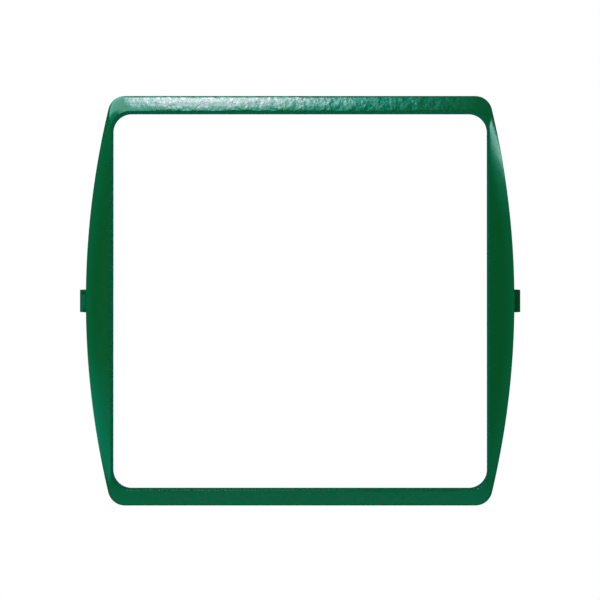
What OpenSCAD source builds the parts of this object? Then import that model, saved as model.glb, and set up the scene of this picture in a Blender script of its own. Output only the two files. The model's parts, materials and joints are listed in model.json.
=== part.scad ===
// Snap-in trim ring for a wall switch: a crowned square ring with bowed flanks, hollow at the rear,
// held by a lug on a flexing tongue at mid height of each flank.
// Upright as installed: X to the right, Z up, the rear rim on the plane y = 0, the front towards -Y.
// The modules draw the ring lying on its rear rim, front up, and upright() stands it on its edge.

/* [Window] */
// Side of the square window
window_side = 55.3; // [45:0.1:70]
// Radius of the window's corners
window_corner_r = 2.7; // [1.5:0.1:4]
// Flat land round the window's front edge
window_land = 0.1; // [0.1:0.05:0.4]

/* [Outline] */
// Width of the top and bottom rails
rail_w = 2.35; // [2.2:0.05:4]
// Width of the bowed flanks at mid height
flank_w = 3.75; // [3:0.05:6]
// Width of the flanks beside the window's corners
flank_end_w = 1.15; // [0.9:0.05:1.8]
// Radius of the outer corners
outer_corner_r = 2.5; // [1.2:0.1:3]

/* [Section] */
// Depth from the rear rim to the front
ring_depth = 8; // [6:0.1:12]
// Straight fall of the crowned front, from the window's edge to the outer edge
crown_fall = 0.8; // [0.3:0.05:1.2]
// Further fall of the front where it rolls over into the skirt
edge_roll = 1; // [0.4:0.05:1.4]
// Thickness of the outer skirt and of the tongues cut out of it
skirt_wall = 0.8; // [0.6:0.05:1]
// Thickness of the collar round the window
collar_wall = 0.8; // [0.6:0.05:1]
// Least thickness of the front over the rear channel
front_wall = 1; // [0.7:0.05:1.5]
// Narrowest stretch of a flank that is still hollow
channel_min_w = 0.6; // [0.4:0.05:1]

/* [Webs] */
// Thickness of the webs across the rear channel
web_wall = 0.6; // [0.4:0.05:1]
// Spacing of the webs along the rails
web_pitch = 12.5; // [8:0.5:16]
// Distance of the webs behind the rear rim
web_recess = 1; // [0.5:0.1:2]

/* [Snap tongues] */
// Width of a tongue along its flank
tongue_w = 5; // [4:0.1:8]
// Slit on each side of a tongue
tongue_slit = 0.6; // [0.4:0.05:1]
// Gap between a tongue's free end and the rear plane
tongue_end_gap = 0.4; // [0.2:0.05:1]
// Clearance round a tongue's rounded root
root_clearance = 0.03; // [0.02:0.01:0.08]
// Width of a lug along its flank
lug_w = 3.4; // [2:0.1:4]
// Reach of a lug beyond the flank
lug_reach = 1.1; // [0.4:0.05:1.4]
// Length of a lug's lead-in ramp, from the tongue's free end
lug_ramp = 1.1; // [0.6:0.05:1.6]
// Length of a lug's flat top in front of its ramp
lug_land = 0.6; // [0.3:0.05:1]

/* [Hidden] */

green = "#05583a";
crown_levels = 10;
corner_steps = 8;
flank_steps = 28;
flat_bow = 0.001;
slice = 0.001;
over = 1;

half_window = window_side / 2;
half_h = half_window + rail_w;
half_w = half_window + flank_w;
skirt_top = ring_depth - crown_fall - edge_roll;

// The flank is one arc: full width at mid height, end width where the window's corner begins
flank_taper = flank_w - flank_end_w;
flank_r = arc_radius(flank_taper, half_window - window_corner_r);
flank_bow = flank_r - sqrt(flank_r ^ 2 - half_h ^ 2);

// Rear channel between skirt and collar
channel_w = flank_w - skirt_wall - collar_wall;
channel_floor = crown_z(1 - skirt_wall / flank_w) - front_wall;
rail_channel_half = half_window - window_corner_r;
flank_channel_half = arc_half_chord(channel_w - channel_min_w, flank_r - skirt_wall);

// Tongue: its rounded root turns in a groove of the skirt, below the channel's floor
root_r = skirt_wall / 2;
root_x = half_w - root_r;
root_z = channel_floor - skirt_wall;
slot_w = tongue_w + 2 * tongue_slit;
web_beside_slot = slot_w / 2 + web_wall;

// Radius of an arc with the given rise over half its chord
function arc_radius(rise, half_chord) = (half_chord ^ 2 + rise ^ 2) / (2 * rise);

// Half the chord of an arc with the given rise
function arc_half_chord(rise, r) = sqrt(2 * r * rise - rise ^ 2);

function blend(a, b, t) = a + (b - a) * t;

function arc(centre, r, from, to, steps) =
    [for (i = [0 : steps]) let (a = blend(from, to, i / steps)) centre + r * [cos(a), sin(a)]];

// Height of the crowned front at the share t of the way from the window's edge to the outer edge
function crown_z(t) = ring_depth - crown_fall * t - edge_roll * (1 - sqrt(1 - t ^ 2));

// Right half of the outline, from top to bottom: corner, bowed flank, corner
function right_side(w, h, bow_r, r) =
    let (bow_centre = [w - bow_r, 0],
         corner = [bow_centre.x + sqrt((bow_r - r) ^ 2 - (h - r) ^ 2), h - r],
         meet = atan2(corner.y, corner.x - bow_centre.x))
    concat(arc(corner, r, 90, meet, corner_steps),
           arc(bow_centre, bow_r, blend(meet, -meet, 1 / flank_steps), -meet, flank_steps - 1),
           arc([corner.x, -corner.y], r, blend(-meet, -90, 1 / corner_steps), -90, corner_steps - 1));

function mirrored_back(points) = [for (i = [len(points) - 1 : -1 : 0]) [-points[i].x, points[i].y]];

// Closed outline with half width w, half height h, flank radius bow_r and corner radius r
function outline(w, h, bow_r, r) =
    let (side = right_side(w, h, bow_r, r)) concat(side, mirrored_back(side));

// Outline of the crowned front at the share t between the window's edge and the outer edge
function crown_outline(t) =
    let (edge = half_window + window_land, h = blend(edge, half_h, t))
    outline(blend(edge, half_w, t), h, arc_radius(blend(flat_bow, flank_bow, t), h),
            blend(window_corner_r + window_land, outer_corner_r, t));

module upright() {
    rotate([90, 0, 0]) children();
}

module both_sides() {
    children();
    mirror([1, 0, 0]) children();
}

module rounded_square(side, r) {
    square([side, side - 2 * r], center = true);
    square([side - 2 * r, side], center = true);
    for (x = [-1, 1], y = [-1, 1])
        translate([x, y] * (side / 2 - r)) circle(r, $fn = 64);
}

// Outer skirt with the crowned front lofted on it
module solid_ring() {
    linear_extrude(skirt_top) polygon(crown_outline(1));
    hull()
        for (i = [0 : crown_levels])
            let (t = sin(90 * i / crown_levels))
            translate([0, 0, crown_z(t) - slice]) linear_extrude(slice) polygon(crown_outline(t));
}

// Plan of the rear channel: the straight stretches of the rails and the wide stretches of the flanks
module channel_plan() {
    intersection() {
        difference() {
            polygon(outline(half_w - skirt_wall, half_h - skirt_wall, flank_r - skirt_wall,
                            outer_corner_r - skirt_wall));
            rounded_square(window_side + 2 * collar_wall, window_corner_r + collar_wall);
        }
        union() {
            square([2 * rail_channel_half, 2 * half_h], center = true);
            square([2 * half_w, 2 * flank_channel_half], center = true);
        }
    }
}

// Plan of the webs that tie the skirt to the collar
module web_plan() {
    for (x = [-1 : 1])
        translate([x * web_pitch, 0]) square([web_wall, 2 * half_h], center = true);
    for (y = [-1, 1])
        translate([0, y * web_beside_slot]) square([2 * half_w, web_wall], center = true);
}

module rear_channel() {
    difference() {
        translate([0, 0, -over]) linear_extrude(channel_floor + over) channel_plan();
        translate([0, 0, web_recess]) linear_extrude(channel_floor) web_plan();
    }
}

// Section of a tongue: a plate that ends in a round root
module tongue_section() {
    translate([root_x, root_z]) circle(root_r, $fn = 48);
    translate([root_x - root_r, tongue_end_gap]) square([skirt_wall, root_z - tongue_end_gap]);
}

// Section of the slot for a tongue: from the middle of the channel out through the skirt
module slot_section() {
    translate([root_x, root_z]) circle(root_r + root_clearance, $fn = 48);
    translate([half_w - skirt_wall - channel_w / 2, -over])
        square([channel_w / 2 + skirt_wall + over, root_z + over]);
}

// Section of a lug: a lead-in ramp towards the rear and a flat catch towards the front
module lug_section() {
    top = tongue_end_gap + lug_ramp + lug_land;
    polygon([[root_x, tongue_end_gap], [half_w, tongue_end_gap],
             [half_w + lug_reach, tongue_end_gap + lug_ramp], [half_w + lug_reach, top], [root_x, top]]);
}

// A section in X and Z, carried along the flank
module along_flank(width) {
    translate([0, width / 2, 0]) rotate([90, 0, 0]) linear_extrude(width) children();
}

module snap_tongue() {
    color(green) {
        along_flank(tongue_w) tongue_section();
        along_flank(lug_w) lug_section();
    }
}

module trim_frame() {
    color(green) upright() difference() {
        solid_ring();
        translate([0, 0, -over]) linear_extrude(ring_depth + 2 * over)
            rounded_square(window_side, window_corner_r);
        rear_channel();
        both_sides() along_flank(slot_w) slot_section();
    }
}

module right_snap_tongue() {
    upright() snap_tongue();
}

module left_snap_tongue() {
    upright() mirror([1, 0, 0]) snap_tongue();
}

trim_frame();
left_snap_tongue();
right_snap_tongue();
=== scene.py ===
import json
import math

import bpy
import numpy as np
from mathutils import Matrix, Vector


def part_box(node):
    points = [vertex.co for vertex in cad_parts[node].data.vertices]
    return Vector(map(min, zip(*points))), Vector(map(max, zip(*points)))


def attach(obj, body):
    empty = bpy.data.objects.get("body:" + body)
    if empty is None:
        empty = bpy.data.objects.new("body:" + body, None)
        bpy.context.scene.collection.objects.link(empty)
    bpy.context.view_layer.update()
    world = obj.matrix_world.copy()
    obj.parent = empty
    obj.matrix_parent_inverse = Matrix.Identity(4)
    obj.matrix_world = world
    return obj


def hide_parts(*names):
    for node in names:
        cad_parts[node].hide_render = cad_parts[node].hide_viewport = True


# A snap-in trim ring of a wall switch, in green plastic with a fine mould grain.
# Metres: X to the right, Z up, the rear rim on y = 0 and the front towards -Y.

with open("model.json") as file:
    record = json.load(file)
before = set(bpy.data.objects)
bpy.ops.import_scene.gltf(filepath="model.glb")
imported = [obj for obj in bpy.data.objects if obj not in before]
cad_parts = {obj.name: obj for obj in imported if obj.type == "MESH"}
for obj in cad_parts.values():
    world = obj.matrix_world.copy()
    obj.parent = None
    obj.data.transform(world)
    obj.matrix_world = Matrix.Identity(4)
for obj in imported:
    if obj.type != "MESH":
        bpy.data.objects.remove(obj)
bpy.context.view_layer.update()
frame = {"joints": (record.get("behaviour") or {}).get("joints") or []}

MM = 0.001

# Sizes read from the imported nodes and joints
ring_low, ring_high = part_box("trim_frame")
tongue_low, tongue_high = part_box("right_snap_tongue")
right_joint = next(j for j in frame["joints"] if j["child"] == "right_tongue")
HALF_W = ring_high.x
HALF_H = ring_high.z
DEPTH = -ring_low.y
ROOT_X = right_joint["pos_m"][0]
ROOT_HEIGHT = -right_joint["pos_m"][1]
SKIRT_WALL = HALF_W - tongue_low.x
LUG_REACH = tongue_high.x - HALF_W
TONGUE_W = tongue_high.z - tongue_low.z
TONGUE_END = -tongue_high.y

# The ring's other sizes
WINDOW_SIDE = 55.3 * MM
WINDOW_CORNER_R = 2.7 * MM
FLANK_END_W = 1.15 * MM
OUTER_CORNER_R = 2.5 * MM
CROWN_FALL = 0.8 * MM
EDGE_ROLL = 1.0 * MM
COLLAR_WALL = 0.8 * MM
FRONT_WALL = 1.0 * MM
CHANNEL_MIN_W = 0.6 * MM
WEB_WALL = 0.6 * MM
WEB_PITCH = 12.5 * MM
WEB_RECESS = 1.0 * MM
TONGUE_SLIT = 0.6 * MM
ROOT_CLEARANCE = 0.03 * MM
LUG_W = 3.4 * MM
LUG_RAMP = 1.1 * MM
LUG_LAND = 0.6 * MM

# Small radii that a moulding has at its edges, the draft of a step, and the least bow of an outline
WINDOW_EDGE = 0.04 * MM
RIM_EDGE = 0.1 * MM
TONGUE_EDGE = 0.06 * MM
CHANNEL_FILLET = 0.15 * MM
LUG_FILLET = 0.3 * MM
STEP_DRAFT = 0.04 * MM
FLAT_BOW = 0.001 * MM

HALF_WINDOW = WINDOW_SIDE / 2
CORE = HALF_WINDOW - WINDOW_CORNER_R
FLANK_W = HALF_W - HALF_WINDOW
SKIRT_TOP = DEPTH - CROWN_FALL - EDGE_ROLL
SLOT_HALF = TONGUE_W / 2 + TONGUE_SLIT
WEB_BESIDE_SLOT = SLOT_HALF + WEB_WALL


def arc_radius(rise, half_chord):
    """Radius of an arc from its rise over half its chord."""
    return (half_chord**2 + rise**2) / (2 * rise)


def blend(a, b, t):
    return a + (b - a) * t


def crown_height(t):
    """Height of the front at the share t from the window's edge to the outer edge: a straight fall
    and a quarter-round roll, added."""
    return DEPTH - CROWN_FALL * t - EDGE_ROLL * (1 - np.sqrt(1 - t**2))


FLANK_R = arc_radius(FLANK_W - FLANK_END_W, CORE)
FLANK_BOW = FLANK_R - math.sqrt(FLANK_R**2 - HALF_H**2)
CHANNEL_W = FLANK_W - SKIRT_WALL - COLLAR_WALL
CHANNEL_FLOOR = crown_height(1 - SKIRT_WALL / FLANK_W) - FRONT_WALL
CHANNEL_RISE = CHANNEL_W - CHANNEL_MIN_W
FLANK_CHANNEL_HALF = math.sqrt(2 * (FLANK_R - SKIRT_WALL) * CHANNEL_RISE - CHANNEL_RISE**2)

# Places along the ring, and points along the parts of its section and of a tongue's
RAIL_STEPS = 24
CORNER_STEPS = 36
FLANK_STEPS = 60
WALL_STEPS = 5
EDGE_STEPS = 9
CROWN_STEPS = 26
SKIRT_STEPS = 6
ROUND_STEPS = 6
FLAT_STEPS = 4 * ROUND_STEPS
ROOT_STEPS = 17
LUG_STEPS = 5
CATCH_SHARES = (0.05, 0.95)

# The angle from which an edge is shaded sharp, and the least upward aim that meets a rail
SHARP_ANGLE = math.radians(30)
LEAST_AIM = 1e-9


def with_breaks(length, steps, breaks):
    """Even places from 0 to length, with a pair of places a draft apart at each break."""
    breaks = np.array(breaks)
    even = np.linspace(0, length, steps)
    clear = np.abs(even[:, None] - breaks).min(axis=1) > 2 * STEP_DRAFT
    clear[[0, -1]] = True
    half_draft = STEP_DRAFT / 2
    return np.unique(np.concatenate([even[clear], breaks - half_draft, breaks + half_draft]))


def quarter_stations():
    """Stations round the upper right quarter, from the top's middle to the flank's middle.
    Each is a point on a square that joins the centres of the window's corners, and the direction
    from there out across the ring: up on the rail, fanned round the corner, sideways on the flank.
    Returns x, z, aim x, aim z, and whether the ring is hollow, webbed and slotted there."""
    half_web = WEB_WALL / 2
    rail_x = with_breaks(CORE, RAIL_STEPS, [half_web, WEB_PITCH - half_web, WEB_PITCH + half_web,
                                            CORE - STEP_DRAFT])
    flank_z = with_breaks(CORE, FLANK_STEPS, [SLOT_HALF, WEB_BESIDE_SLOT - half_web,
                                              WEB_BESIDE_SLOT + half_web, FLANK_CHANNEL_HALF])[::-1]
    fan = np.radians(np.linspace(90, 0, CORNER_STEPS))[1:-1]
    full = np.full
    x = np.concatenate([rail_x, full(fan.size, CORE), full(flank_z.size, CORE)])
    z = np.concatenate([full(rail_x.size, CORE), full(fan.size, CORE), flank_z])
    aim_x = np.concatenate([full(rail_x.size, 0.0), np.cos(fan), full(flank_z.size, 1.0)])
    aim_z = np.concatenate([full(rail_x.size, 1.0), np.sin(fan), full(flank_z.size, 0.0)])
    on_rail = aim_z == 1
    on_flank = aim_x == 1
    hollow = (on_rail & (x < CORE - STEP_DRAFT)) | (on_flank & (z < FLANK_CHANNEL_HALF))
    from_rail_web = np.minimum(x, np.abs(x - WEB_PITCH))
    from_flank_web = np.abs(z - WEB_BESIDE_SLOT)
    webbed = (on_rail & (from_rail_web < half_web)) | (on_flank & (from_flank_web < half_web))
    slotted = on_flank & (z < SLOT_HALF)
    return x, z, aim_x, aim_z, hollow, webbed, slotted


def ring_reach(stations, half_w, half_h, flank_r, corner_r):
    """Distance from each station along its aim to an outline: the nearer of the rail's straight
    edge and the flank's arc, or the corner's arc where that point lies in the corner's sector."""
    x, z, aim_x, aim_z = stations[:4]
    centre_x = half_w - flank_r
    along = (x - centre_x) * aim_x + z * aim_z
    to_flank = -along + np.sqrt(along**2 - (x - centre_x) ** 2 - z**2 + flank_r**2)
    to_rail = np.where(aim_z > LEAST_AIM, (half_h - z) / np.maximum(aim_z, LEAST_AIM), np.inf)
    straight = np.minimum(to_flank, to_rail)
    corner_x = centre_x + np.sqrt((flank_r - corner_r) ** 2 - (half_h - corner_r) ** 2)
    corner_z = half_h - corner_r
    past_x = x + straight * aim_x - corner_x
    past_z = z + straight * aim_z - corner_z
    in_corner = (past_x > 0) & (past_z * (corner_x - centre_x) > past_x * corner_z)
    off_x = x - corner_x
    off_z = z - corner_z
    along = off_x * aim_x + off_z * aim_z
    inside = np.maximum(along**2 - off_x**2 - off_z**2 + corner_r**2, 0)
    return np.where(in_corner, -along + np.sqrt(inside), straight)


def crown_reach(stations, t):
    """Distance to the crowned front's outline at the share t, whose half sizes, bow and corner
    radius run evenly from the window's edge to the outer edge."""
    edge = HALF_WINDOW + WINDOW_EDGE
    half_h = blend(edge, HALF_H, t)
    bow_r = arc_radius(blend(FLAT_BOW, FLANK_BOW, t), half_h)
    corner_r = blend(WINDOW_CORNER_R + WINDOW_EDGE, OUTER_CORNER_R, t)
    return ring_reach(stations, blend(edge, HALF_W, t), half_h, bow_r, corner_r)


def ring_section(stations):
    """The ring's closed section at every station, as distance along the aim and height above the
    rear rim: up the window's wall, over its edge on an arc that runs into the crown's fall, down
    the crown and the skirt, round the skirt's rim, through the rear channel and round the collar's
    rim. Where the ring is solid the channel's points lie flat on the rim, and at a slot the skirt
    ends in the groove for the tongue's root."""
    hollow, webbed, slotted = stations[4:]
    turn = np.linspace(0, np.pi / 2, ROUND_STEPS)[:, None]
    rise, run = np.sin(turn), np.cos(turn)
    same = np.ones(hollow.size)

    width = crown_reach(stations, 1) - crown_reach(stations, 0)
    fall = np.arctan(CROWN_FALL / width)
    centre_height = DEPTH - WINDOW_EDGE / np.cos(fall)
    edge_turn = np.linspace(0, 1, EDGE_STEPS)[:-1, None] * (np.pi / 2 + fall)
    edge = WINDOW_CORNER_R + WINDOW_EDGE * (1 - np.cos(edge_turn))
    edge_height = centre_height + WINDOW_EDGE * np.sin(edge_turn)
    wall_height = blend(RIM_EDGE, centre_height, np.linspace(0, 1, WALL_STEPS)[:-1, None])
    wall = np.full(wall_height.shape, WINDOW_CORNER_R)
    start = np.arcsin(WINDOW_EDGE * np.sin(fall) / width)
    t = np.sin(blend(start, np.pi / 2, np.linspace(0, 1, CROWN_STEPS)[:, None]))
    crown = crown_reach(stations, t)
    crown_rise = crown_height(t)

    outer = crown[-1]
    inner = ring_reach(stations, HALF_W - SKIRT_WALL, HALF_H - SKIRT_WALL, FLANK_R - SKIRT_WALL,
                       OUTER_CORNER_R - SKIRT_WALL)
    collar = np.full(hollow.size, WINDOW_CORNER_R + COLLAR_WALL)
    floor = np.where(webbed, WEB_RECESS, CHANNEL_FLOOR)

    rim = np.concatenate([outer - RIM_EDGE * (1 - run), inner + RIM_EDGE * (1 - rise)])
    rim_height = np.concatenate([RIM_EDGE * (1 - rise) * same, RIM_EDGE * (1 - run) * same])
    groove = blend(outer, inner, np.linspace(0, 1, 2 * ROUND_STEPS)[:, None])
    groove_r = SKIRT_WALL / 2 + ROOT_CLEARANCE
    from_root = np.minimum(np.abs(groove + CORE - ROOT_X), groove_r)
    rim = np.where(slotted, groove, rim)
    rim_height = np.where(slotted, ROOT_HEIGHT + np.sqrt(groove_r**2 - from_root**2), rim_height)
    skirt_height = blend(SKIRT_TOP, rim_height[0], np.linspace(0, 1, SKIRT_STEPS)[1:-1, None])
    skirt = outer * np.ones(skirt_height.shape)

    channel = np.concatenate([
        inner - CHANNEL_FILLET * (1 - run),
        collar + CHANNEL_FILLET * (1 - rise),
        collar - RIM_EDGE * (1 - run),
    ])
    channel_height = np.concatenate([
        floor - CHANNEL_FILLET * (1 - rise),
        floor - CHANNEL_FILLET * (1 - run),
        RIM_EDGE * (1 - rise) * same,
    ])
    flat_share = np.linspace(0, 1, FLAT_STEPS + 2)[1:-1, None]
    flat = blend(outer - RIM_EDGE, WINDOW_CORNER_R + RIM_EDGE, flat_share)
    rim[ROUND_STEPS:] = np.where(hollow, rim[ROUND_STEPS:], flat[:ROUND_STEPS])
    rim_height[ROUND_STEPS:] = np.where(hollow, rim_height[ROUND_STEPS:], 0)
    channel = np.where(hollow, channel, flat[ROUND_STEPS:])
    channel_height = np.where(hollow, channel_height, 0)
    collar_rim = WINDOW_CORNER_R + RIM_EDGE * (1 - rise[:-1]) * same
    collar_rim_height = RIM_EDGE * (1 - run[:-1]) * same

    reach = np.concatenate([wall, edge, crown, skirt, rim, channel, collar_rim])
    height = np.concatenate([wall_height, edge_height, crown_rise, skirt_height, rim_height,
                             channel_height, collar_rim_height])
    return reach, height


def all_round(quarter, flip_x, flip_z):
    """A quarter's values carried round the ring: the quarter, its mirror image below, then both
    mirrored to the left, with the stations on the axes kept once."""
    right = np.concatenate([quarter, (flip_z * quarter)[..., -2::-1]], axis=-1)
    return np.concatenate([right, (flip_x * right)[..., -2:0:-1]], axis=-1)


def ring_points():
    """Points of the whole ring on a grid of section by station: station plus distance times aim in
    X and Z, and the height towards the front in -Y."""
    stations = quarter_stations()
    reach, height = ring_section(stations)
    x, z, aim_x, aim_z = stations[:4]
    return np.stack([
        all_round(x + reach * aim_x, -1, 1),
        all_round(-height, 1, 1),
        all_round(z + reach * aim_z, 1, -1),
    ], axis=-1)


def grid_faces(rows, columns, round_columns):
    """Quads of a grid whose rows close on themselves, and whose columns do if round_columns is
    set."""
    i = np.arange(rows)[:, None]
    j = np.arange(columns if round_columns else columns - 1)
    after_i = (i + 1) % rows
    after_j = (j + 1) % columns
    row, after_row = i * columns, after_i * columns
    corners = np.broadcast_arrays(row + j, after_row + j, after_row + after_j, row + after_j)
    return np.stack(corners, axis=-1).reshape(-1, 4)


def volume(points, faces):
    """Volume inside closed quads: the sum of the signed tetrahedra to the origin of both halves."""
    a, b, c, d = (points[faces[:, k]] for k in range(4))
    halves = np.einsum("ij,ij->i", a, np.cross(b, c)) + np.einsum("ij,ij->i", a, np.cross(c, d))
    return halves.sum() / 6


def moulded_piece(name, points, round_columns, material):
    """A closed piece from a grid of points, turned outwards, with flat caps on open ends and smooth
    shading that breaks at real edges."""
    rows, columns = points.shape[:2]
    flat_points = points.reshape(-1, 3)
    quads = grid_faces(rows, columns, round_columns)
    first_end = np.arange(rows) * columns
    caps = [] if round_columns else [first_end, first_end[::-1] + columns - 1]
    if volume(flat_points, quads) < 0:
        quads = quads[:, ::-1]
        caps = [cap[::-1] for cap in caps]
    mesh = bpy.data.meshes.new(name)
    mesh.from_pydata(flat_points.tolist(), [], quads.tolist() + [cap.tolist() for cap in caps])
    mesh.shade_smooth()
    mesh.set_sharp_from_angle(angle=SHARP_ANGLE)
    mesh.materials.append(material)
    piece = bpy.data.objects.new(name, mesh)
    bpy.context.scene.collection.objects.link(piece)
    return piece


def tongue_section(lug):
    """A tongue's closed section as x and height: round the free end's inner edge, up the inner
    face, over the round root, down the outer face, out on the lug's fillet and over its edges, and
    down its ramp. The lug's reach is scaled by lug, and without a lug its points lie evenly on the
    face."""
    root_r = SKIRT_WALL / 2
    turn = np.linspace(0, np.pi / 2, ROUND_STEPS)
    inner_x = ROOT_X - root_r
    edge_x = inner_x + RIM_EDGE * (1 - np.sin(turn))
    edge_height = TONGUE_END + RIM_EDGE * (1 - np.cos(turn))
    over = np.linspace(np.pi, 0, ROOT_STEPS)
    root_x = ROOT_X + root_r * np.cos(over)
    root_height = ROOT_HEIGHT + root_r * np.sin(over)
    ramp_top = TONGUE_END + LUG_RAMP
    catch = ramp_top + LUG_LAND
    face = np.array(CATCH_SHARES)
    bend = RIM_EDGE * np.array([1, 0, -LUG_REACH / LUG_RAMP])
    lug_reach = np.concatenate([
        LUG_FILLET * (1 - np.cos(turn)),
        blend(LUG_FILLET, LUG_REACH - RIM_EDGE, face),
        LUG_REACH - RIM_EDGE * (1 - np.sin(turn)),
        LUG_REACH + np.minimum(bend, 0),
        [LUG_REACH * RIM_EDGE / LUG_RAMP],
    ])
    lug_height = np.concatenate([
        catch + LUG_FILLET * (1 - np.sin(turn)),
        np.full(face.size, catch),
        catch - RIM_EDGE * (1 - np.cos(turn)),
        ramp_top + RIM_EDGE * np.array([1, 0, -1]),
        [TONGUE_END + RIM_EDGE],
    ])
    x = np.concatenate([edge_x, root_x, HALF_W + lug_reach * lug, [HALF_W - RIM_EDGE]])
    even = np.linspace(lug_height[0], lug_height[-1], lug_height.size)
    height = np.concatenate([edge_height, root_height, blend(even, lug_height, lug), [TONGUE_END]])
    return x, height


def tongue_points(side):
    """Points of a tongue: its section carried along the flank, with the lug swelling up over a
    short draft at each of its sides, and the ends drawn in over a quarter round."""
    rise = np.linspace(0, 1, LUG_STEPS)
    lug_edge = LUG_W / 2 - STEP_DRAFT * 2 * (1 - rise)
    half = TONGUE_W / 2
    turn = np.linspace(0, np.pi / 2, ROUND_STEPS)
    end = half - TONGUE_EDGE * (1 - np.sin(turn))
    half_z = np.concatenate([[0, LUG_W / 4], lug_edge, end])
    half_lug = np.concatenate([[1, 1], np.sqrt(1 - rise**2), np.zeros(end.size)])
    half_inset = np.concatenate([np.zeros(2 + rise.size), TONGUE_EDGE * (1 - np.cos(turn))])
    z = np.concatenate([-half_z[:0:-1], half_z])
    lug = np.concatenate([half_lug[:0:-1], half_lug])
    inset = np.concatenate([half_inset[:0:-1], half_inset])
    sections = [tongue_section(share) for share in lug]
    x = np.stack([s[0] for s in sections], axis=1)
    height = np.stack([s[1] for s in sections], axis=1)
    step_x = np.roll(x, -1, 0) - np.roll(x, 1, 0)
    step_height = np.roll(height, -1, 0) - np.roll(height, 1, 0)
    length = np.hypot(step_x, step_height)
    x = x + inset * step_height / length
    height = height - inset * step_x / length
    return np.stack([side * x, -height, np.broadcast_to(z, x.shape)], axis=-1)


class Shade:
    """A socket of a shader tree. Arithmetic on it adds Math nodes, and node() adds any other
    node."""

    def __init__(self, tree, socket=None):
        self.tree = tree
        self.socket = socket

    def node(self, kind, settings=None, inputs=None, out=0):
        """Adds a node of this kind with its settings and the values or links of its sockets."""
        made = self.tree.nodes.new(kind)
        for name, value in (settings or {}).items():
            setattr(made, name, value)
        for name, value in (inputs or {}).items():
            if isinstance(value, Shade):
                self.tree.links.new(value.socket, made.inputs[name])
            else:
                made.inputs[name].default_value = value
        return Shade(self.tree, made.outputs[out] if made.outputs else None)

    def math(self, operation, a, b=0):
        return self.node("ShaderNodeMath", {"operation": operation}, {0: a, 1: b})

    def __add__(self, other):
        return self.math("ADD", self, other)

    __radd__ = __add__

    def __sub__(self, other):
        return self.math("SUBTRACT", self, other)

    def __rsub__(self, other):
        return self.math("SUBTRACT", other, self)

    def __mul__(self, other):
        return self.math("MULTIPLY", self, other)

    __rmul__ = __mul__

    def smooth(self, low, high):
        """0 at low and 1 at high, with a smooth step between them."""
        return self.node("ShaderNodeMapRange", {"interpolation_type": "SMOOTHSTEP"},
                         {"Value": self, "From Min": low, "From Max": high})

    def mix(self, low, high):
        """A colour from low to high by this factor."""
        return self.node("ShaderNodeMix", {"data_type": "RGBA"}, {0: self, 6: low, 7: high}, out=2)

    def part(self, axis):
        """This vector's part along X, Y or Z, which are 0, 1 and 2."""
        return self.node("ShaderNodeSeparateXYZ", {}, {0: self}, out=axis)

    def noise(self, size, detail=1.0):
        """Smooth noise about 0.5 over these coordinates, in lumps of about this size."""
        return self.node("ShaderNodeTexNoise", {},
                         {"Vector": self, "Scale": 1 / size, "Detail": detail})


def empty_tree(owner):
    owner.use_nodes = True
    owner.node_tree.nodes.clear()
    return Shade(owner.node_tree)


# Outputs of the Texture Coordinate node
SURFACE_NORMAL = "Normal"
OBJECT_PLACE = "Object"

# The mould grain: sizes, depths, and where it fades out
GRAIN = 1.2 * MM
FINE_GRAIN = 0.55 * MM
GRAIN_RATIO = 1.3
GRAIN_DEPTH = 0.14 * MM
FINE_SHARE = 0.25
WAVE = 5 * MM
WAVE_DEPTH = 0.12 * MM
FLANK_GRAIN = 0.12
RAIL_FADE = 0.3 * MM
CORNER_FADE = 7 * MM
GRAINED_FACING = (-0.12, -0.5)

# The plastic's colour and gloss
MOTTLE = 9 * MM
MOTTLE_DETAIL = 2.0
PEBBLE_TONE = 0.3
DEEP_GREEN = (0.0003, 0.085, 0.0175, 1)
PALE_GREEN = (0.0006, 0.107, 0.028, 1)
GLOSS_ROUGHNESS = 0.15
SPECK_ROUGHNESS = 0.16
SPECK_RANGE = (0.44, 0.66)
PLASTIC_IOR = 1.55


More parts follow.
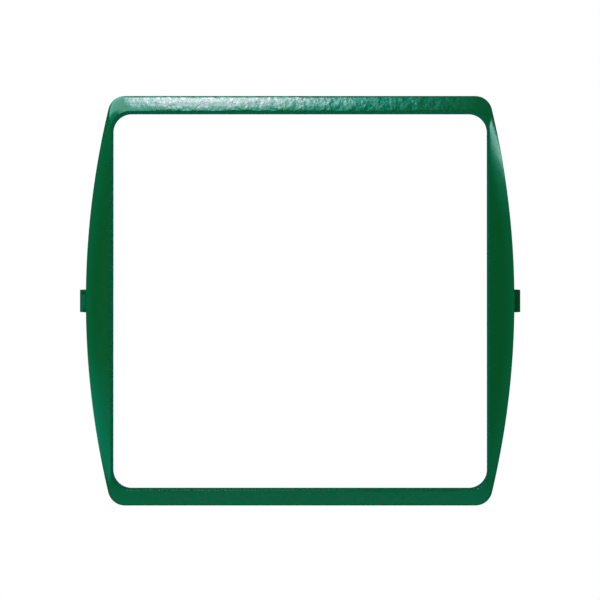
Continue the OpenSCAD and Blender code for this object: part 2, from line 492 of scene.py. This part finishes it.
def moulded_green():
    """Green plastic off a spark-eroded mould: a pebble grain with a finer one on it, both shorter
    along the rails than across them, and a slow wave under both, over a colour that drifts a little
    along the moulding. All three are strong on the rails' fronts and weak on the flanks, and the
    finer grain's peaks are slightly less glossy."""
    material = bpy.data.materials.new("moulded_green")
    tree = empty_tree(material)
    place = tree.node("ShaderNodeTexCoord", out=OBJECT_PLACE)
    narrowed = tree.node("ShaderNodeVectorMath", {"operation": "MULTIPLY"},
                         {0: place, 1: (GRAIN_RATIO, 1, 1)})
    pebble = narrowed.noise(GRAIN)
    fine = narrowed.noise(FINE_GRAIN)
    wave = place.noise(WAVE)
    drift = place.noise(MOTTLE, MOTTLE_DETAIL)
    facing = tree.node("ShaderNodeTexCoord", out=SURFACE_NORMAL).part(1)
    across = tree.math("ABSOLUTE", place.part(0))
    up = tree.math("ABSOLUTE", place.part(2))
    off_corner = across.smooth(HALF_WINDOW, CORE - CORNER_FADE)
    on_rail = up.smooth(HALF_WINDOW, HALF_WINDOW + RAIL_FADE) * off_corner
    strength = facing.smooth(*GRAINED_FACING) * (FLANK_GRAIN + on_rail * (1 - FLANK_GRAIN))
    coarse = (pebble - 0.5) * ((1 - FINE_SHARE) * GRAIN_DEPTH)
    grain = coarse + (fine - 0.5) * (FINE_SHARE * GRAIN_DEPTH)
    height = (grain + (wave - 0.5) * WAVE_DEPTH) * strength
    tone = drift * (1 - PEBBLE_TONE) + pebble * PEBBLE_TONE
    bump = tree.node("ShaderNodeBump", {}, {"Strength": 1.0, "Distance": 1.0, "Height": height})
    plastic = tree.node("ShaderNodeBsdfPrincipled", {}, {
        "Base Color": tone.mix(DEEP_GREEN, PALE_GREEN),
        "Roughness": GLOSS_ROUGHNESS + fine.smooth(*SPECK_RANGE) * strength * SPECK_ROUGHNESS,
        "IOR": PLASTIC_IOR,
        "Normal": bump,
    })
    tree.node("ShaderNodeOutputMaterial", {}, {"Surface": plastic})
    return material


# The camera's distance from the ring's front, its drop, and the width that it sees there
CAMERA_DISTANCE = 540 * MM
CAMERA_BELOW = 4.5 * MM
FRAME_WIDTH = 87.6 * MM
SENSOR = 36.0
AIM = Vector((-0.02 * MM, -DEPTH, 0.08 * MM))


def aimed(thing, place, direction):
    thing.location = place
    thing.rotation_euler = direction.to_track_quat("-Z", "Y").to_euler()


def photo_camera():
    """A long lens straight in front of the ring and a little below its middle."""
    data = bpy.data.cameras.new("camera")
    data.sensor_width = SENSOR
    data.lens = SENSOR * CAMERA_DISTANCE / FRAME_WIDTH
    camera = bpy.data.objects.new("camera", data)
    place = Vector((AIM.x, -DEPTH - CAMERA_DISTANCE, -CAMERA_BELOW))
    aimed(camera, place, AIM - place)
    bpy.context.scene.collection.objects.link(camera)
    bpy.context.scene.camera = camera


# Colours of the light, how a lamp's tint follows its strength, and how deep slats shade it
COOL_WHITE = (0.90, 0.83, 1.0, 1)
COOL_EDGE = (0.0, 0.83, 0.82, 1)
MINT = (0.52, 1.0, 0.92, 1)
MINT_EDGE = (0.0, 1.0, 0.92, 1)
TEAL = (0.02, 0.80, 1.0, 1)
SEA_GREEN = (0.02, 1.0, 0.90, 1)
GREEN_BOUNCE = (0.02, 0.9, 0.60, 1)
WHITE = (1.0, 1.0, 1.0, 1)
FULL_TINT = 0.65
TINT_POWER = 2.0
SLAT_SHADE = 0.4

DOWN = (0, 0, -1)
LEFT = (-1, 0, 0)
RIGHT = (1, 0, 0)


def soft_box(name, place, aim, sides, fade_across, fade_along, radiance, middle, edge=None,
             lean=0, slats=0, in_gloss=True):
    """A soft lamp for the gloss, or for the colour under it, with its place and sides in
    millimetres. Its power is its brightest radiance times pi times its area. Its cloth fades in and
    out smoothly over the given shares of its sides, from the middle's tint to the edge's. With lean
    its first edge runs slanting across it, and slats shade it in that many waves along its second
    side."""
    data = bpy.data.lights.new(name, "AREA")
    data.shape = "RECTANGLE"
    data.size, data.size_y = (side * MM for side in sides)
    data.energy = radiance * math.pi * data.size * data.size_y
    tree = empty_tree(data)
    cloth = tree.node("ShaderNodeNewGeometry", out="Parametric")
    across = cloth.part(0)
    along = cloth.part(1)
    fade_in = (across - (1 - along) * lean).smooth(0, fade_across[0])
    fade_out = (1 - across).smooth(0, fade_across[1])
    ends = along.smooth(0, fade_along[0]) * (1 - along).smooth(0, fade_along[1])
    glow = fade_in * fade_out * ends
    if slats:
        glow = glow * (1 + tree.math("SINE", along * (2 * math.pi * slats)) * SLAT_SHADE)
    tint = tree.math("POWER", glow * (1 / FULL_TINT), TINT_POWER).mix(edge or middle, middle)
    light = tree.node("ShaderNodeEmission", {}, {"Color": tint, "Strength": glow})
    tree.node("ShaderNodeOutputLight", {}, {0: light})
    lamp = bpy.data.objects.new(name, data)
    lamp.visible_glossy = in_gloss
    lamp.visible_diffuse = not in_gloss
    aimed(lamp, Vector(place) * MM, Vector(aim))
    bpy.context.scene.collection.objects.link(lamp)


def studio_lamps():
    """A slatted panel over the left of the top rail and a dim one over its right, two panels and a
    far one beyond the upper left corner, a lamp and a glow beside the right flank's upper end, a
    small lamp in front of the left lug, a dim one beside the left flank's lower end, and a wide
    fill from the left."""
    soft_box("teal_panel", place=(18, -34.5, 81), aim=DOWN, sides=(28, 111),
             fade_across=(0.45, 0.55), fade_along=(0.74, 0.29), radiance=0.8, middle=SEA_GREEN)
    soft_box("overhead_panel", place=(-5.5, -34.5, 80), aim=DOWN, sides=(57, 111),
             fade_across=(0.20, 0.72), fade_along=(0.74, 0.29), radiance=16.8,
             middle=COOL_WHITE, edge=COOL_EDGE, slats=7)
    soft_box("corner_panel", place=(-177, -25, 98), aim=DOWN, sides=(306, 170),
             fade_across=(0.06, 0.04), fade_along=(0.10, 0.15), radiance=3.5,
             middle=MINT, edge=MINT_EDGE, lean=1)
    soft_box("corner_front", place=(-50, -115, 97), aim=DOWN, sides=(52, 70),
             fade_across=(0.15, 0.23), fade_along=(0.28, 0.21), radiance=3.5,
             middle=MINT, edge=MINT_EDGE)
    soft_box("far_panel", place=(-180, -65, 100), aim=DOWN, sides=(300, 470),
             fade_across=(0.58, 0.09), fade_along=(0.15, 0.22), radiance=0.9, middle=SEA_GREEN)
    soft_box("right_lamp", place=(75, -4, 31.15), aim=LEFT, sides=(80, 11.7),
             fade_across=(0.25, 0.25), fade_along=(0.50, 0.38), radiance=4.7,
             middle=MINT, edge=MINT_EDGE)
    soft_box("right_glow", place=(76, -15, 25), aim=LEFT, sides=(90, 18),
             fade_across=(0.30, 0.25), fade_along=(0.45, 0.25), radiance=0.4, middle=SEA_GREEN)
    soft_box("lug_lamp", place=(-38, -102, 0), aim=(6, 100, 0), sides=(14, 18),
             fade_across=(0.2, 0.2), fade_along=(0.2, 0.2), radiance=1.7, middle=SEA_GREEN)
    soft_box("left_lamp", place=(-75, -25, -23), aim=RIGHT, sides=(140, 34),
             fade_across=(0.15, 0.20), fade_along=(0.40, 0.55), radiance=0.9, middle=SEA_GREEN)
    soft_box("left_fill", place=(-360, -480, -60), aim=(360, 480, 60), sides=(300, 300),
             fade_across=(0.2, 0.2), fade_along=(0.2, 0.2), radiance=4.0, middle=WHITE,
             in_gloss=False)


# The world's light: its strengths, and the parts of a direction between which each of them sets in
AMBIENT = 0.58
AMBIENT_ENDS = 0.72
SIDE_GLOSS = 0.42
ABOVE_GLOSS = 0.20
BELOW_GLOSS = 0.55
BEHIND_GLOSS = 0.12
SIDEWAYS = (0.7, 1.0)
UPWARDS = (0.3, 0.7)
DOWNWARDS = (-0.3, -0.7)
NOT_BACKWARDS = (0.45, 0.05)
BACKWARDS = (0, 1)


def studio_world():
    """White for the rays that show the background, a soft light for the rest that is stronger from
    above and below, and in gloss a dim green light from the sides and the rear and a dim teal one
    from above and below."""
    world = bpy.data.worlds.new("studio")
    bpy.context.scene.world = world
    world.cycles.sampling_method = "NONE"
    tree = empty_tree(world)
    towards = tree.node("ShaderNodeTexCoord")
    along_x, along_y, along_z = (towards.part(axis) for axis in range(3))
    glossy, seen, passed = (tree.node("ShaderNodeLightPath", out=kind) for kind in (
        "Is Glossy Ray", "Is Camera Ray", "Is Transmission Ray"))
    shown = seen + passed
    soft = (1 - shown - glossy) * (AMBIENT + along_z * along_z * AMBIENT_ENDS)
    above = along_z.smooth(*UPWARDS) * ABOVE_GLOSS
    below = along_z.smooth(*DOWNWARDS) * along_y.smooth(*NOT_BACKWARDS) * BELOW_GLOSS
    beside = tree.math("ABSOLUTE", along_x).smooth(*SIDEWAYS) * SIDE_GLOSS
    behind = along_y.smooth(*BACKWARDS) * BEHIND_GLOSS
    white = tree.node("ShaderNodeBackground", {}, {"Color": WHITE, "Strength": shown + soft})
    cool = tree.node("ShaderNodeBackground", {}, {
        "Color": TEAL, "Strength": glossy * (above + below)})
    bounce = tree.node("ShaderNodeBackground", {}, {
        "Color": GREEN_BOUNCE, "Strength": glossy * (beside + behind)})
    gloss = tree.node("ShaderNodeAddShader", {}, {0: cool, 1: bounce})
    light = tree.node("ShaderNodeAddShader", {}, {0: white, 1: gloss})
    tree.node("ShaderNodeOutputWorld", {}, {"Surface": light})


# The floor's depth below the ring, half its side, and its paint
FLOOR_BELOW = 0.25
FLOOR_HALF = 3.0
FLOOR_MOTTLE = 1 / 6
FLOOR_GREY = (0.8, 0.8, 0.8, 1)
FLOOR_PALE = (0.86, 0.86, 0.86, 1)


def pale_floor():
    """A plain pale floor, well below the ring and out of the camera's view."""
    material = bpy.data.materials.new("pale_floor")
    tree = empty_tree(material)
    drift = tree.node("ShaderNodeTexCoord", out=OBJECT_PLACE).noise(FLOOR_MOTTLE, MOTTLE_DETAIL)
    paint = tree.node("ShaderNodeBsdfDiffuse", {}, {"Color": drift.mix(FLOOR_GREY, FLOOR_PALE)})
    tree.node("ShaderNodeOutputMaterial", {}, {"Surface": paint})
    corner = np.array([[-1, -1], [1, -1], [1, 1], [-1, 1]]) * FLOOR_HALF
    level = np.full((4, 1), ring_low.z - FLOOR_BELOW)
    mesh = bpy.data.meshes.new("floor")
    mesh.from_pydata(np.hstack([corner, level]).tolist(), [], [(0, 1, 2, 3)])
    mesh.materials.append(material)
    floor = bpy.data.objects.new("floor", mesh)
    bpy.context.scene.collection.objects.link(floor)
    floor.visible_glossy = False
    floor.visible_diffuse = False


green = moulded_green()
ring = moulded_piece("moulded_ring", ring_points(), True, green)
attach(ring, "frame")
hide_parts("trim_frame")
for side, name in ((-1, "left"), (1, "right")):
    tongue = moulded_piece(name + "_tongue", tongue_points(side), False, green)
    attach(tongue, name + "_tongue")
    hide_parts(name + "_snap_tongue")

photo_camera()
studio_lamps()
studio_world()
pale_floor()
bpy.context.scene.view_settings.view_transform = "Standard"
